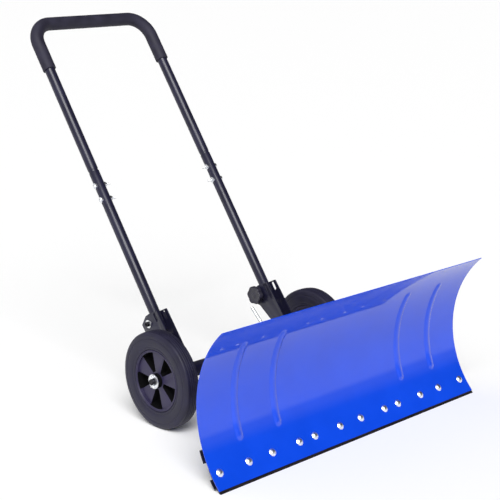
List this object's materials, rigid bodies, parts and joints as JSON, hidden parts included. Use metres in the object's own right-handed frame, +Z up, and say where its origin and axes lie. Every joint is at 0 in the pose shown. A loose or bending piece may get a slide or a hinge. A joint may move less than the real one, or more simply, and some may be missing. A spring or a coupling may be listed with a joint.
{
  "type": "wheeled snow shovel",
  "caption": "Wheeled snow pusher: a wide curved blade on a swivel ahead of an axle with spoked wheels, and a U-shaped push handle with a foam grip that tilts on clamp knobs.",
  "frame": {"origin": "on the ground under the middle of the whole tool, where the wheels and the scraper edge stand", "axes": "+Z up; the hollow of the blade faces -Y and the handle rises towards +Y; the axle lies along X"},
  "size_m": [0.93, 1.0656, 1.0144],
  "materials": {
    "blue_paint": "glossy powder coat",
    "black_paint": "semi-gloss powder coat",
    "zinc": "bright zinc plate",
    "steel_strip": "rolled spring steel",
    "tyre": "matt moulded tread",
    "hub_plastic": "moulded",
    "bush_plastic": "moulded nylon",
    "knob_plastic": "moulded",
    "foam": "closed-cell foam",
    "dark_bolt": "black oxide"
  },
  "bodies": {
    "frame": {"cross_beam": "black_paint", "beam_plugs": "black_paint", "axle_rod": "dark_bolt", "axle_spacers": "bush_plastic", "axle_washers": "zinc", "split_pins": "zinc", "side_bracket_left": "black_paint", "side_bracket_right": "black_paint", "pivot_bolts": "dark_bolt", "pivot_washers": "zinc", "draft_arm_left": "black_paint", "draft_arm_right": "black_paint", "tongue_plate": "black_paint", "lock_guide": "black_paint", "guide_stay": "black_paint", "swivel_bolt": "zinc", "swivel_nut": "zinc", "swivel_washers": "zinc"},
    "wheel_left": {"tyre_left": "tyre", "hub_left": "hub_plastic", "hub_bushes_left": "bush_plastic"},
    "wheel_right": {"tyre_right": "tyre", "hub_right": "hub_plastic", "hub_bushes_right": "bush_plastic"},
    "handle": {"lower_tube_left": "black_paint", "lower_tube_right": "black_paint", "pivot_sleeves": "black_paint", "upper_handle": "black_paint", "foam_grip": "foam", "joint_bolts": "zinc", "saddle_washers": "zinc", "joint_nuts": "zinc"},
    "knob_left": {"clamp_knob_left": "knob_plastic"},
    "knob_right": {"clamp_knob_right": "knob_plastic"},
    "blade": {"blade_sheet": "blue_paint", "scraper_strip": "steel_strip", "edge_channel": "black_paint", "carriage_bolts": "zinc", "edge_washers": "zinc", "edge_nuts": "zinc", "rear_gusset_left": "black_paint", "rear_gusset_right": "black_paint", "sector_plate": "black_paint", "lock_fingers": "black_paint"},
    "lock": {"lock_rod": "zinc", "rod_collar": "zinc"}
  },
  "joints": [
    {"name": "wheel_spin_left", "type": "hinge", "parent": "frame", "child": "wheel_left", "pos_m": [-0.278, -0.09081, 0.127], "axis": [1, 0, 0], "continuous": true},
    {"name": "wheel_spin_right", "type": "hinge", "parent": "frame", "child": "wheel_right", "pos_m": [0.278, -0.09081, 0.127], "axis": [1, 0, 0], "continuous": true},
    {"name": "handle_tilt", "type": "hinge", "parent": "frame", "child": "handle", "pos_m": [0, 0.02683, 0.23658], "axis": [1, 0, 0], "range_deg": [-25, 10]},
    {"name": "knob_turn_left", "type": "hinge", "parent": "frame", "child": "knob_left", "pos_m": [-0.17, 0.02683, 0.23658], "axis": [-1, 0, 0], "range_deg": [0, 360]},
    {"name": "knob_turn_right", "type": "hinge", "parent": "frame", "child": "knob_right", "pos_m": [0.17, 0.02683, 0.23658], "axis": [1, 0, 0], "range_deg": [0, 360]},
    {"name": "blade_swivel", "type": "hinge", "parent": "frame", "child": "blade", "pos_m": [0, -0.39581, 0.0625], "axis": [0, 0, 1], "range_deg": [-30, 30]},
    {"name": "lock_slide", "type": "slide", "parent": "frame", "child": "lock", "axis": [0, -0.7071, -0.7071], "range_m": [0, 0.018]}
  ]
}
